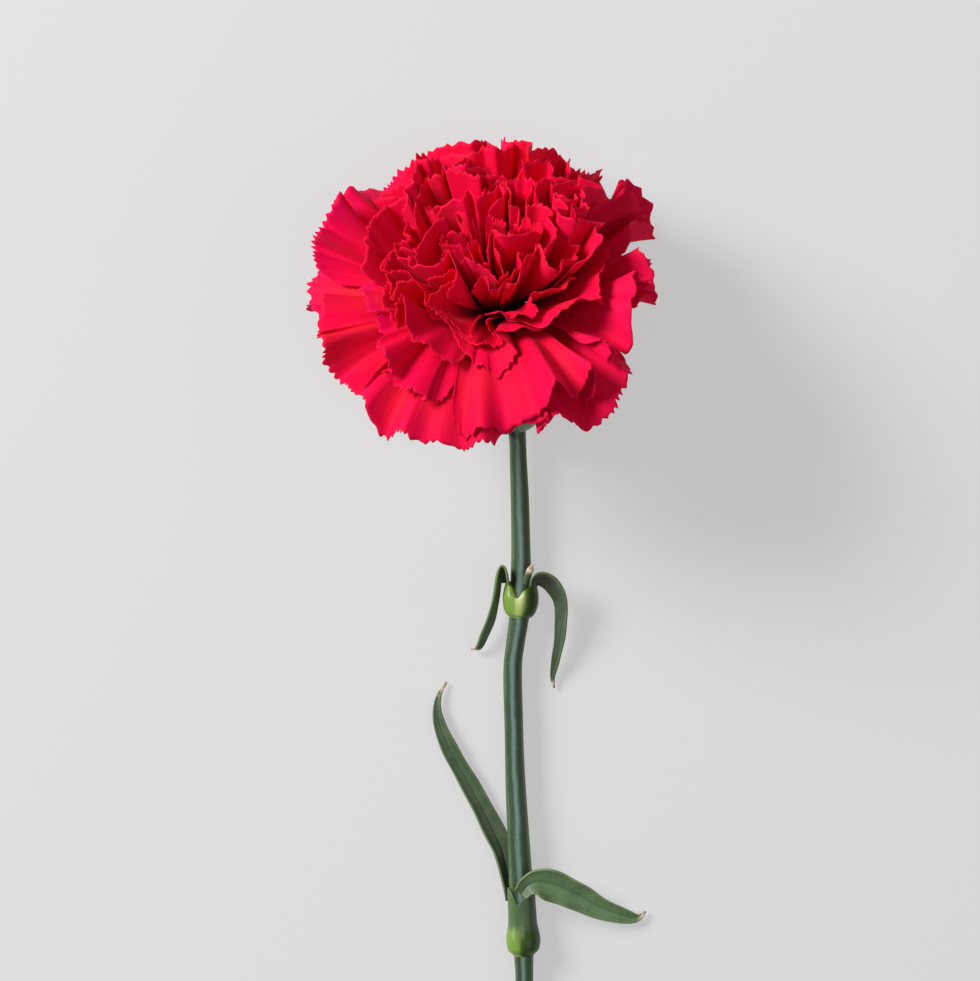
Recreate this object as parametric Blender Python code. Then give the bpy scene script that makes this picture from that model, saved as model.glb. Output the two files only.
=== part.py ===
"""A red cut carnation that lies on a surface.

The stem runs along -Y from the flower's neck. The flower turns its face half up, and its far
petals rest on the surface together with the two nodes of the stem and the tips of the leaves.
Lengths are in millimetres until a mesh is made.
"""

import math

import bmesh
import bpy
import numpy as np

MM = 0.001

# The whole flower, moved so that the middle of its bounding box's bottom is the origin.
SHIFT = np.array([7.58, 49.88, -0.138])

# The flower: its mouth is the ring where the petals leave the calyx.
MOUTH = np.array([-4.4, 23.0, 21.2])
MOUTH_RADIUS = 6.3
CALYX_LENGTH = 25.0
TILT = math.radians(42)
LEAN = -0.15
BEND_LENGTH = 9.0
BLADE_LENGTH = 24.0
CLAW_LENGTH = 20.0
CLAW_TAPER = 0.4

# How far the petals turn away from the flower's axis: near the mouth, and at their far ends.
# Directions round the axis: 0 right, 90 the far side on the surface, 180 left, 270 the front.
FLARE_DEGREES = 80
SMALLEST_TURN = 1e-3
STANDING_RADIUS = 0.85
STANDING_SOFTNESS = 0.08
LEANING_DEGREES = 22
LYING_DEGREES = 86
FRONT = 270
FRONT_WIDTH = 0.85
FRONT_OPENING = 0.28
FRONT_DEGREES = 20
FAR_SIDE = 96
FAR_WIDTH = 1.1
FAR_DEGREES = 12

# Folds that run through all petals together: share, count round the flower, start, drift outward.
FOLD_LENGTH = 20.0
PLEATS = ((0.34, 5, 1.3, 4), (0.2, 8, 0.4, -5))
LATE_PLEAT = (0.1, 13, 0, 5)
LATE_START = 12.0
LATE_LENGTH = 16.0
SWIRL = 0.17
SWIRL_COUNT = 17
SWIRL_START = 1

SURFACE_GAP = 0.35
SURFACE_SOFTNESS = 0.9

# Petals: how thick, and how they are divided across, along the blade and along the claw.
PETAL_THICKNESS = 0.32
CLAW_THICKNESS = 0.22
THICKENING_START = 0.1
THICKENING_SHARE = 0.5
STEP = 1e-3
ROW_CROWDING = 1.3
DEGREES_PER_COLUMN = 7.5
FOLDED_COLUMNS = 8
PETAL_ROWS = 8
CLAW_ROWS = 1
CLAW_HALF_DEGREES = 18
SLANT = 0.68
WAVE = 0.2
WAVES = (0.9, 2.2)
FINE_WAVE_SHARE = 0.3
FINE_WAVE_COUNT = 2.4
WAVE_GROWTH = 1.3
OPENING_SHARE = 0.6
SLANTING_SHARE = 0.3
MARGIN_ROUNDING = 0.07
CORNER_ROUNDING = 0.2
CURL_START = 0.16
CURL_SHARE = 0.75
CURL_WAVE = 0.12
CURL_WAVES = (1.0, 2.2)

# Whorls of open petals, outermost first: whorl radius, half its depth, then (direction in
# degrees, half width in degrees, length) of each petal.
WHORLS = (
    (0.94, 0.055, (
        (168, 36, 34.5), (213, 31, 34), (257, 30, 36.5), (302, 31, 37),
        (355, 28, 30.5), (50, 33, 34), (112, 36, 38),
    )),
    (0.845, 0.045, (
        (144, 34, 37), (193, 30, 24), (236, 27, 31), (284, 28, 36.5),
        (331, 28, 33), (27, 15, 34.5), (83, 32, 34.5),
    )),
    (0.74, 0.045, (
        (172, 30, 22), (222, 27, 27), (270, 27, 24), (322, 31, 28), (26, 31, 32.5), (100, 42, 34),
    )),
    (0.65, 0.045, (
        (146, 38, 30.5), (206, 36, 25), (260, 28, 20), (306, 28, 24), (4, 37, 31), (68, 38, 34),
    )),
    (0.54, 0.05, (
        (184, 38, 26), (244, 30, 24), (325, 38, 27), (38, 42, 32), (120, 44, 33),
    )),
    (0.43, 0.05, (
        (208, 48, 26), (288, 42, 23), (18, 48, 29), (110, 50, 31),
    )),
    (0.325, 0.045, (
        (165, 50, 27), (250, 46, 24), (335, 48, 26), (60, 50, 27.5),
    )),
    (0.215, 0.045, (
        (216, 56, 24), (328, 54, 25), (90, 64, 28),
    )),
)

# Folded petals: distance from the middle, direction, half width, depth, turn, share of a full
# turn that the fold reaches round, length.
FOLDED = (
    (0.085, 250, 0.055, 0.045, -18, 0.60, 22.5),
    (0.085, 130, 0.055, 0.045, 18, 0.60, 25.5),
    (0.085, 10, 0.055, 0.045, -10, 0.55, 25.0),
)

# The stem's axis with its radius, from the cut end up to the neck.
STEM = (
    (1.2, -158.0, 2.10, 1.90),
    (1.2, -146.0, 2.35, 1.90),
    (1.0, -134.0, 2.60, 1.85),
    (1.2, -122.0, 2.95, 1.80),
    (1.3, -110.4, 3.35, 1.80),
    (1.2, -106.0, 3.50, 1.95),
    (1.05, -101.5, 3.55, 2.15),
    (0.9, -97.5, 3.55, 2.15),
    (0.62, -92.6, 3.50, 2.18),
    (0.52, -90.2, 3.47, 2.38),
    (0.45, -88.2, 3.45, 2.38),
    (0.14, -82.4, 3.35, 2.30),
    (-0.53, -70.0, 3.20, 2.03),
    (-0.9, -57.3, 3.20, 1.92),
    (-1.1, -47.1, 3.35, 1.90),
    (-0.6, -41.9, 3.50, 1.92),
    (0.1, -37.3, 3.60, 2.00),
    (0.45, -33.5, 3.62, 2.10),
    (0.6, -29.2, 3.65, 2.15),
    (0.6, -22.4, 3.70, 2.00),
    (0.4, -12.2, 3.75, 1.86),
    (0.1, -4.5, 3.85, 1.76),
    (0.0, -0.8, 3.85, 1.74),
    (-0.15, 1.3, 3.85, 1.80),
    (-0.3, 2.5, 3.92, 2.00),
)
STEM_SIDES = 10
CUT_SLANT = 1.1
RECEPTACLE = ((-0.9, 2.4), (0.3, 3.1), (1.4, 3.5), (3.2, 3.6), (4.4, 3.2))

# The sheath at each node: place along the stem and outer radius.
COLLARS = {
    "collar_upper": (
        (-36.3, 2.40), (-35.7, 2.75), (-34.6, 3.25), (-33.2, 3.52), (-31.8, 3.55), (-30.6, 3.30), (-29.7, 2.85),
    ),
    "collar_lower": (
        (-105.2, 2.45), (-104.4, 2.95), (-103.0, 3.35), (-101.5, 3.40), (-100.0, 3.12),
        (-98.4, 2.86), (-95.4, 2.80), (-91.9, 2.86),
    ),
}
COLLAR_SIDES = 14
COLLAR_GAP = 0.3

# Leaves: the middle line from the node to the tip, then the half width and the roll in degrees
# (0 lies flat, 90 stands on its edge).
LEAVES = {
    "leaf_upper_left": (
        (-2.15, -29.2, 4.9, 1.4, 66), (-2.5, -27.2, 5.4, 1.5, 62), (-3.1, -25.8, 5.6, 1.5, 66),
        (-3.95, -26.8, 5.2, 1.4, 74), (-4.5, -29.4, 4.6, 1.5, 72), (-5.0, -33.0, 3.9, 1.6, 68),
        (-5.95, -36.6, 3.2, 1.5, 60), (-7.05, -39.8, 2.6, 1.2, 50), (-8.0, -42.2, 2.0, 0.75, 38),
        (-9.5, -42.8, 1.4, 0.14, 30),
    ),
    "leaf_upper_right": (
        (2.75, -29.6, 6.6, 1.3, -62), (3.4, -28.3, 6.9, 1.7, -50), (4.8, -27.9, 6.8, 2.0, -44),
        (7.0, -29.1, 6.2, 2.1, -44), (8.6, -31.6, 5.4, 1.95, -44), (9.05, -35.4, 4.4, 1.6, -42),
        (8.7, -40.2, 3.4, 1.3, -38), (7.75, -45.0, 2.3, 0.9, -30), (7.1, -48.4, 1.5, 0.45, -20),
        (7.4, -50.7, 1.1, 0.12, -10),
    ),
    "leaf_lower_left": (
        (-2.2, -94.2, 1.75, 1.1, -62), (-2.15, -90.0, 1.45, 1.75, -38), (-3.0, -84.5, 1.2, 2.1, -20),
        (-4.9, -80.0, 1.4, 2.15, -12), (-8.7, -72.5, 1.7, 1.9, -6), (-13.05, -64.7, 1.9, 1.65, 4),
        (-15.6, -59.2, 1.9, 1.35, 10), (-16.5, -55.0, 1.6, 0.75, 12), (-16.0, -51.8, 1.3, 0.42, 10),
        (-14.6, -49.5, 1.0, 0.13, 5),
    ),
    "leaf_lower_right": (
        (0.6, -92.3, 6.5, 1.5, 5), (1.9, -90.7, 6.95, 2.0, 2), (3.7, -89.9, 7.0, 2.6, -2),
        (5.8, -90.1, 6.5, 3.1, -6), (8.4, -91.1, 5.7, 3.2, -8), (12.5, -93.1, 4.4, 2.8, -8),
        (15.8, -95.0, 3.4, 2.35, -8), (19.0, -96.4, 2.6, 1.95, -7), (22.2, -97.4, 1.8, 1.35, -5),
        (24.4, -97.7, 1.4, 0.75, -3), (26.2, -96.5, 1.1, 0.13, 0),
    ),
}
LEAF_THICKNESS = 0.5
LEAF_FOLD = 0.28
LEAF_COLUMNS = 4
LEAF_ROWS = 14

# The side shoot's axis with its radius.
SHOOT = (
    (1.4, -29.6, 6.9, 0.6), (1.65, -28.4, 7.15, 0.7), (2.2, -27.0, 7.5, 0.78), (2.65, -26.0, 7.6, 0.7),
    (2.95, -25.1, 7.6, 0.35),
)
SHOOT_SIDES = 8

# The calyx: height above its foot, outer radius; then its teeth.
CALYX = ((0.3, 4.75), (2.0, 5.7), (6.0, 6.25), (12.0, 6.75), (18.0, 7.1), (23.0, 7.35), (25.0, 7.55))
CALYX_WALL = 0.4
CALYX_TEETH = 5
TOOTH_HEIGHT = 4.5
TOOTH_FLARE = 2.2
TOOTH_CURVE = 1.3
CALYX_COLUMNS = 20
CALYX_ROWS = 5

# The four scales at the foot of the calyx.
BRACTS = 4
BRACT_HALF_DEGREES = 40
BRACT_LENGTH = 8.5
BRACT_WALL = 0.45
BRACT_GAP = 0.35
BRACT_FOOT = 0.6
BRACT_NARROWING = 0.15
BRACT_POINT = 0.8
BRACT_ROWS = 5
BRACT_COLUMNS = 4

COLOURS = {
    "petal": (0.72, 0.008, 0.045, 1.0),
    "stem": (0.085, 0.130, 0.085, 1.0),
    "leaf": (0.070, 0.105, 0.060, 1.0),
    "collar": (0.33, 0.42, 0.09, 1.0),
    "calyx": (0.12, 0.20, 0.085, 1.0),
    "bract": (0.15, 0.23, 0.10, 1.0),
    "shoot": (0.42, 0.44, 0.26, 1.0),
}
ROUGHNESS = {
    "petal": 0.55, "stem": 0.45, "leaf": 0.5, "collar": 0.5, "calyx": 0.5, "bract": 0.55, "shoot": 0.6,
}


def unit(v):
    return v / np.linalg.norm(v, axis=-1, keepdims=True)


FORWARD = unit(np.array([LEAN, math.cos(TILT), math.sin(TILT)]))
ACROSS = unit(np.array([1.0, 0.0, 0.0]) - FORWARD[0] * FORWARD)
DOWN = np.cross(FORWARD, ACROSS)


def vary(i, j):
    """A repeatable number from 0 to 1 for petal i and feature j."""
    x = math.sin(i * 12.9898 + j * 78.233) * 43758.5453
    return x - math.floor(x)


def between(i, j, low, high):
    return low + (high - low) * vary(i, j)


def smooth(x):
    x = np.clip(x, 0, 1)
    return x * x * (3 - 2 * x)


def near(theta, degrees, width):
    """1 where theta is the given direction, falling to 0 round it."""
    away = np.angle(np.exp(1j * (theta - math.radians(degrees))))
    return np.exp(-((away / width) ** 2))


def flare_of(radius):
    """How far a petal turns away from the flower's axis just outside the mouth."""
    return np.radians(FLARE_DEGREES * radius) + SMALLEST_TURN


def tip_of(radius, theta):
    """How far its far end turns away: the middle stands, the rim lies back, most of all in front."""
    standing = STANDING_RADIUS - FRONT_OPENING * near(theta, FRONT, FRONT_WIDTH)
    lying = LYING_DEGREES + FRONT_DEGREES * near(theta, FRONT, FRONT_WIDTH)
    lying = lying + FAR_DEGREES * near(theta, FAR_SIDE, FAR_WIDTH)
    degrees = lying / (1 + np.exp((standing - radius) / STANDING_SOFTNESS)) + LEANING_DEGREES * radius
    return np.radians(degrees)


def fold(x, y, run):
    """Moves places of the bud along its neighbours' folds, so that all petals fold together."""
    radius = np.hypot(x, y)
    theta = np.arctan2(y, x)
    grown = smooth(run / FOLD_LENGTH)
    late = smooth((run - LATE_START) / LATE_LENGTH)
    pleats = 0
    for share, count, start, drift in PLEATS:
        pleats = pleats + grown * share * np.sin(count * theta + start + drift * radius)
    share, count, start, drift = LATE_PLEAT
    pleats = pleats + late * share * np.sin(count * theta + start + drift * radius)
    radius = radius + radius * (1 - radius) * pleats
    theta = theta + SWIRL * grown * np.sin(SWIRL_COUNT * radius + SWIRL_START)
    return radius, theta


def flower_to_world(across, down, up):
    """A place measured from the mouth along the flower's own axes, kept off the surface."""
    place = MOUTH + across[..., None] * ACROSS + down[..., None] * DOWN + up[..., None] * FORWARD
    height = (place[..., 2] - SURFACE_GAP) / SURFACE_SOFTNESS
    place[..., 2] = SURFACE_GAP + SURFACE_SOFTNESS * np.logaddexp(0, height)
    return place


def in_flower(x, y, run):
    """The place at a distance run from the mouth on the petal path that starts at (x, y)."""
    radius, theta = fold(x, y, run)
    first = flare_of(radius)
    tight = BEND_LENGTH / first
    swing = tip_of(radius, theta) - first
    wide = BLADE_LENGTH / np.where(np.abs(swing) < 1e-3, 1e-3, swing)
    angle = np.clip(run, 0, BEND_LENGTH) / tight
    rest = np.clip(run - BEND_LENGTH, 0, None) / wide
    claw = np.clip(-run, 0, None)
    out = radius * MOUTH_RADIUS + tight * (1 - np.cos(angle))
    out = out + wide * (np.cos(first) - np.cos(first + rest))
    out = out * (1 - CLAW_TAPER * claw / CALYX_LENGTH)
    up = tight * np.sin(angle) + wide * (np.sin(first + rest) - np.sin(first)) - claw
    return flower_to_world(out * np.cos(theta), out * np.sin(theta), up)


def margin_of(length, s):
    return length * (1 - MARGIN_ROUNDING * s**2 - CORNER_ROUNDING * np.abs(s) ** 9)


def open_petal(index, radius, half, degrees, half_degrees, length):
    """The surface of a petal of a whorl, as a function of s across and t along."""
    count = math.pi * between(index, 2, *WAVES)
    first = between(index, 4, 0, 2 * math.pi)
    second = between(index, 5, 0, 2 * math.pi)

    def surface(s, t):
        blade = np.clip(t, 0, 1)
        opened = smooth(blade / OPENING_SHARE)
        degrees_wide = CLAW_HALF_DEGREES + (half_degrees - CLAW_HALF_DEGREES) * opened
        theta = np.radians(degrees + degrees_wide * s)
        wave = (1 - FINE_WAVE_SHARE) * np.sin(count * s + first)
        wave = wave + FINE_WAVE_SHARE * np.sin(FINE_WAVE_COUNT * count * s + second)
        depth = SLANT * s * smooth(blade / SLANTING_SHARE)
        depth = depth + WAVE * wave * (1 - 0.5 * s**2) * blade**WAVE_GROWTH
        place = radius + half * depth
        run = np.where(t < 0, t * CLAW_LENGTH, t * margin_of(length, s))
        return in_flower(place * np.cos(theta), place * np.sin(theta), run)

    return surface


def folded_petal(index, radius, degrees, half_width, depth, turn_degrees, reach, length):
    """The surface of a petal that curls round its own middle."""
    count = math.pi * between(index, 2, *CURL_WAVES)
    first = between(index, 3, 0, 2 * math.pi)
    theta = math.radians(degrees)
    turn = math.radians(turn_degrees)

    def surface(s, t):
        blade = np.clip(t, 0, 1)
        around = (CURL_START + (reach - CURL_START) * smooth(blade / CURL_SHARE)) * math.pi * s
        size = 1 + CURL_WAVE * blade**1.5 * np.sin(count * s + first)
        back = depth * np.cos(around) * size
        side = half_width * np.sin(around) * size
        outward = radius + back * math.cos(turn) - side * math.sin(turn)
        sideways = back * math.sin(turn) + side * math.cos(turn)
        x = outward * math.cos(theta) - sideways * math.sin(theta)
        y = outward * math.sin(theta) + sideways * math.cos(theta)
        run = np.where(t < 0, t * CLAW_LENGTH, t * margin_of(length, s))
        return in_flower(x, y, run)

    return surface


def material(slot):
    found = bpy.data.materials.get(slot)
    if found:
        return found
    made = bpy.data.materials.new(slot)
    made.use_nodes = True
    shader = made.node_tree.nodes["Principled BSDF"]
    shader.inputs["Base Color"].default_value = COLOURS[slot]
    shader.inputs["Roughness"].default_value = ROUGHNESS[slot]
    shader.inputs["Metallic"].default_value = 0.0
    made.diffuse_color = COLOURS[slot]
    return made


def add_object(name, slot, points, faces):
    """One closed, outward-facing, smooth-shaded object from points in millimetres."""
    mesh = bpy.data.meshes.new(name)
    mesh.from_pydata([tuple(p) for p in (points + SHIFT) * MM], [], faces)
    shape = bmesh.new()
    shape.from_mesh(mesh)
    bmesh.ops.recalc_face_normals(shape, faces=shape.faces)
    for face in shape.faces:
        face.smooth = True
    shape.to_mesh(mesh)
    shape.free()
    mesh.materials.append(material(slot))
    obj = bpy.data.objects.new(name, mesh)
    bpy.context.scene.collection.objects.link(obj)
    return obj


def add_shell(name, slot, outer, inner, around=False):
    """A shell between two grids of points. around joins the last column to the first."""
    rows, columns = outer.shape[:2]
    count = rows * columns
    points = np.concatenate([outer.reshape(-1, 3), inner.reshape(-1, 3)])

    def at(row, column, side):
        return side * count + row * columns + column % columns

    faces = []
    last = columns if around else columns - 1
    for r in range(rows - 1):
        for c in range(last):
            faces.append((at(r, c, 0), at(r, c + 1, 0), at(r + 1, c + 1, 0), at(r + 1, c, 0)))
            faces.append((at(r, c, 1), at(r + 1, c, 1), at(r + 1, c + 1, 1), at(r, c + 1, 1)))
    for c in range(last):
        faces.append((at(0, c, 0), at(0, c, 1), at(0, c + 1, 1), at(0, c + 1, 0)))
        far = rows - 1
        faces.append((at(far, c, 0), at(far, c + 1, 0), at(far, c + 1, 1), at(far, c, 1)))
    if not around:
        for r in range(rows - 1):
            faces.append((at(r, 0, 0), at(r + 1, 0, 0), at(r + 1, 0, 1), at(r, 0, 1)))
            faces.append((at(r, last, 0), at(r, last, 1), at(r + 1, last, 1), at(r + 1, last, 0)))
    return add_object(name, slot, points, faces)


def add_petal(name, surface, columns):
    claw = np.linspace(-1, 0, CLAW_ROWS + 1)[:-1]
    blade = np.linspace(0, 1, PETAL_ROWS + 1) ** ROW_CROWDING
    t, s = np.meshgrid(np.concatenate([claw, blade]), np.linspace(-1, 1, columns + 1), indexing="ij")
    middle = surface(s, t)
    across = surface(s + STEP, t) - surface(s - STEP, t)
    along = surface(s, t + STEP) - surface(s, t - STEP)
    normal = unit(np.cross(across, along))
    thickened = smooth((t - THICKENING_START) / THICKENING_SHARE)
    thick = CLAW_THICKNESS + (PETAL_THICKNESS - CLAW_THICKNESS) * thickened
    half = 0.5 * thick[..., None]
    return add_shell(name, "petal", middle + half * normal, middle - half * normal)


def frames_along(path):
    """The direction of a path at each point, and two directions square to it."""
    along = unit(np.gradient(path, axis=0))
    side = unit(np.cross(along, np.array([0.0, 0.0, 1.0])))
    return along, side, np.cross(side, along)


def add_tube(name, slot, path, radii, sides):
    """A solid round bar along a path, closed at both ends."""
    _, side, up = frames_along(path)
    angle = np.linspace(0, 2 * math.pi, sides, endpoint=False)
    rings = path[:, None] + radii[:, None, None] * (
        np.cos(angle)[None, :, None] * side[:, None] + np.sin(angle)[None, :, None] * up[:, None]
    )
    if name == "stem":
        rings[0] = rings[0] + CUT_SLANT * np.sin(angle)[:, None] * np.array([0.0, 1.0, 0.0])
    faces = []
    for r in range(len(path) - 1):
        for c in range(sides):
            d = (c + 1) % sides
            faces.append((r * sides + c, r * sides + d, (r + 1) * sides + d, (r + 1) * sides + c))
    faces.append(tuple(range(sides))[::-1])
    faces.append(tuple(range((len(path) - 1) * sides, len(path) * sides)))
    return add_object(name, slot, rings.reshape(-1, 3), faces)


def along_calyx(height):
    """The place on the flower's axis at a height above the calyx's foot."""
    return MOUTH + (np.asarray(height)[..., None] - CALYX_LENGTH) * FORWARD


def add_stem():
    stem = np.array(STEM)
    top = np.array(RECEPTACLE)
    path = np.concatenate([stem[:, :3], along_calyx(top[:, 0])])
    return add_tube("stem", "stem", path, np.concatenate([stem[:, 3], top[:, 1]]), STEM_SIDES)


def add_collar(name, profile):
    stem = np.array(STEM)
    profile = np.array(profile)
    axis = np.stack([np.interp(profile[:, 0], stem[:, 1], stem[:, k]) for k in range(3)], -1)
    inside = np.interp(profile[:, 0], stem[:, 1], stem[:, 3]) + COLLAR_GAP
    _, side, up = frames_along(axis)
    angle = np.linspace(0, 2 * math.pi, COLLAR_SIDES, endpoint=False)
    ring = np.cos(angle)[None, :, None] * side[:, None] + np.sin(angle)[None, :, None] * up[:, None]
    outer = axis[:, None] + profile[:, 1, None, None] * ring
    inner = axis[:, None] + inside[:, None, None] * ring
    return add_shell(name, "collar", outer, inner, around=True)


def add_leaf(name, line):
    line = np.array(line)
    knots = np.linspace(0, 1, len(line))
    t = np.linspace(0, 1, LEAF_ROWS + 1)
    path = np.stack([np.interp(t, knots, line[:, k]) for k in range(5)], -1)
    middle, half_width, roll = path[:, :3], path[:, 3], np.radians(path[:, 4])
    _, side, up = frames_along(middle)
    flat = np.cos(roll)[:, None] * side + np.sin(roll)[:, None] * up
    normal = np.cos(roll)[:, None] * up - np.sin(roll)[:, None] * side
    s = np.linspace(-1, 1, LEAF_COLUMNS + 1)
    sheet = middle[:, None] + half_width[:, None, None] * (
        s[None, :, None] * flat[:, None] + LEAF_FOLD * (s**2)[None, :, None] * normal[:, None]
    )
    thick = 0.5 * LEAF_THICKNESS * normal[:, None] * np.ones_like(s)[None, :, None]
    return add_shell(name, "leaf", sheet + thick, sheet - thick)


def round_calyx(height, radius, angle):
    """A place beside the calyx's axis: height above its foot, distance from the axis, direction."""
    sideways = (radius * np.cos(angle))[..., None] * ACROSS + (radius * np.sin(angle))[..., None] * DOWN
    return along_calyx(height) + sideways


def add_calyx():
    profile = np.array(CALYX)
    t, angle = np.meshgrid(
        np.linspace(0, 1, CALYX_ROWS + 1),
        np.linspace(0, 2 * math.pi, CALYX_COLUMNS, endpoint=False),
        indexing="ij",
    )
    tooth = np.abs(((angle * CALYX_TEETH / (2 * math.pi)) % 1.0) * 2 - 1)
    height = profile[0, 0] + t * (CALYX_LENGTH - profile[0, 0] + TOOTH_HEIGHT * tooth)
    above = np.clip(height - CALYX_LENGTH, 0, None) / TOOTH_HEIGHT
    radius = np.interp(height, profile[:, 0], profile[:, 1]) + TOOTH_FLARE * above**TOOTH_CURVE
    outer = round_calyx(height, radius, angle)
    inner = round_calyx(height, radius - CALYX_WALL, angle)
    return add_shell("calyx", "calyx", outer, inner, around=True)


def add_bract(index):
    profile = np.array(CALYX)
    rows, columns = np.linspace(0, 1, BRACT_ROWS + 1), np.linspace(-1, 1, BRACT_COLUMNS + 1)
    t, s = np.meshgrid(rows, columns, indexing="ij")
    width = np.radians(BRACT_HALF_DEGREES) * (1 - BRACT_NARROWING * t - BRACT_POINT * t**4)
    angle = 2 * math.pi * (index + 0.5) / BRACTS + width * s
    height = BRACT_FOOT + BRACT_LENGTH * t
    radius = np.interp(height, profile[:, 0], profile[:, 1]) + BRACT_GAP + BRACT_WALL
    outer = round_calyx(height, radius, angle)
    inner = round_calyx(height, radius - BRACT_WALL, angle)
    return add_shell(f"bract_{index + 1}", "bract", outer, inner)


def main():
    for obj in list(bpy.data.objects):
        bpy.data.objects.remove(obj, do_unlink=True)
    number = 0
    for radius, half, petals in WHORLS:
        for petal in petals:
            columns = round(2 * petal[1] / DEGREES_PER_COLUMN)
            add_petal(f"petal_{number + 1:02d}", open_petal(number, radius, half, *petal), columns)
            number += 1
    for petal in FOLDED:
        add_petal(f"petal_{number + 1:02d}", folded_petal(number, *petal), FOLDED_COLUMNS)
        number += 1
    add_stem()
    for name, profile in COLLARS.items():
        add_collar(name, profile)
    for name, line in LEAVES.items():
        add_leaf(name, line)
    shoot = np.array(SHOOT)
    add_tube("shoot", "shoot", shoot[:, :3], shoot[:, 3], SHOOT_SIDES)
    add_calyx()
    for index in range(BRACTS):
        add_bract(index)


main()
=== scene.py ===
"""A red cut carnation lying on a pale surface, laid out as a Blender add-on."""

import math

import bpy
import numpy as np
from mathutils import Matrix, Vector


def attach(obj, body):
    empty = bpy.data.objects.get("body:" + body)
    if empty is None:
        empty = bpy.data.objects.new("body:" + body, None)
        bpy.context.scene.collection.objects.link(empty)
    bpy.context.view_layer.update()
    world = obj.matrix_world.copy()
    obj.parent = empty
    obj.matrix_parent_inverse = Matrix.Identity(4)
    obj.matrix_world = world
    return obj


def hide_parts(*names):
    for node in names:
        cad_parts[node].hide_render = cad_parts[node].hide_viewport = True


bl_info = {
    "name": "Cut carnation",
    "version": (1, 0, 0),
    "blender": (4, 5, 0),
    "location": "View3D > Sidebar > Carnation",
    "description": "Grows the petals, stem, leaves and calyx of a cut carnation round its frame",
    "category": "Add Mesh",
}

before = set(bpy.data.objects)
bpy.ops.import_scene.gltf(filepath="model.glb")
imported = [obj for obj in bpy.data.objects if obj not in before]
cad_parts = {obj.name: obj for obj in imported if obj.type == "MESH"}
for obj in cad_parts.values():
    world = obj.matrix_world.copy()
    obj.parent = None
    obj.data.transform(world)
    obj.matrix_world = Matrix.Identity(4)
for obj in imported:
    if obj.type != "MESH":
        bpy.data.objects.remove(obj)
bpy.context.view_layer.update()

MM = 0.001

# Where the flower's own millimetres start in the frame.
SHIFT = np.array([7.58, 49.88, -0.138])

# The flower head: its mouth is the ring where the petals leave the calyx.
MOUTH = np.array([-4.4, 23.0, 21.2])
MOUTH_RADIUS = 6.3
CALYX_LENGTH = 25.0
TILT = math.radians(42)
LEAN = -0.15
BEND_LENGTH = 9.0
BLADE_LENGTH = 24.0
CLAW_LENGTH = 20.0
CLAW_TAPER = 0.4

# How far the petals turn away from the flower's axis: near the mouth, and at their far ends.
# Directions round the axis: 0 right, 90 the far side on the surface, 180 left, 270 the front.
FLARE_DEGREES = 80
SMALLEST_TURN = 1e-3
STANDING_RADIUS = 0.85
STANDING_SOFTNESS = 0.08
LEANING_DEGREES = 22
LYING_DEGREES = 86
FRONT = 270
FRONT_WIDTH = 0.85
FRONT_OPENING = 0.28
FRONT_DEGREES = 20
FAR_SIDE = 96
FAR_WIDTH = 1.1
FAR_DEGREES = 12

# Folds that run through all petals together: share, count round the flower, start, drift outward.
FOLD_LENGTH = 20.0
PLEATS = ((0.34, 5, 1.3, 4), (0.2, 8, 0.4, -5))
LATE_PLEAT = (0.1, 13, 0, 5)
LATE_START = 12.0
LATE_LENGTH = 16.0
SWIRL = 0.17
SWIRL_COUNT = 17
SWIRL_START = 1

# Fine creases of the open petals: share, count round the flower, start.
CREASES = ((1.0, 17, 1), (0.7, 29, 2))
CREASE_DEGREES = 6
CREASE_INSIDE = 0.3
CREASED_SIDE = 28
CREASED_WIDTH = 0.5
SIDE_CREASE_DEGREES = 6

CLAW_HALF_DEGREES = 18
SURFACE_GAP = 0.35
SURFACE_SOFTNESS = 0.9
SLANT = 0.66
WAVE = 0.38
WAVES = (0.9, 2.2)
FINE_WAVE_SHARE = 0.3
FINE_WAVE_COUNT = 2.4
WAVE_GROWTH = 1.3
OPENING_SHARE = 0.6
SLANTING_SHARE = 0.3
MARGIN_ROUNDING = 0.07
CORNER_ROUNDING = 0.2
CURL_START = 0.16
CURL_SHARE = 0.75
CURL_WAVE = 0.12
CURL_WAVES = (1.0, 2.2)
RUFFLE = 0.012
CURL_RUFFLE = 0.07
CURL_GROWTH = 1.5
WAVE_CALM = 0.5

# The toothed edge of a blade. Waves across it: size, count, change from petal to petal.
TEETH = 24
MORE_TEETH = 8
TOOTH_DRIFT = ((0.45, 9, 1), (0.3, 23, 2))
TOOTH_SHARE = 0.75
TOOTH_CHANGE = ((0.35, 5, 1.7),)
LOBES = ((0.6, 6.3, 2.1), (0.35, 14.3, 1))
CORNER_POWER = 9

# Ruffles of a blade: size, count, change from petal to petal, slant.
RUFFLES = ((1.0, 9, 3, 2), (0.6, 17, 5, 0))
SHARP_RUFFLE = (0.8, 13, 1)
RUFFLE_MEAN = 0.5
RUFFLE_GROWTH = 3

# The share of a petal's rows on its claw, and how the others crowd along the blade.
CLAW_ROWS = 0.14
ROW_CROWDING = 0.92

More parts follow.
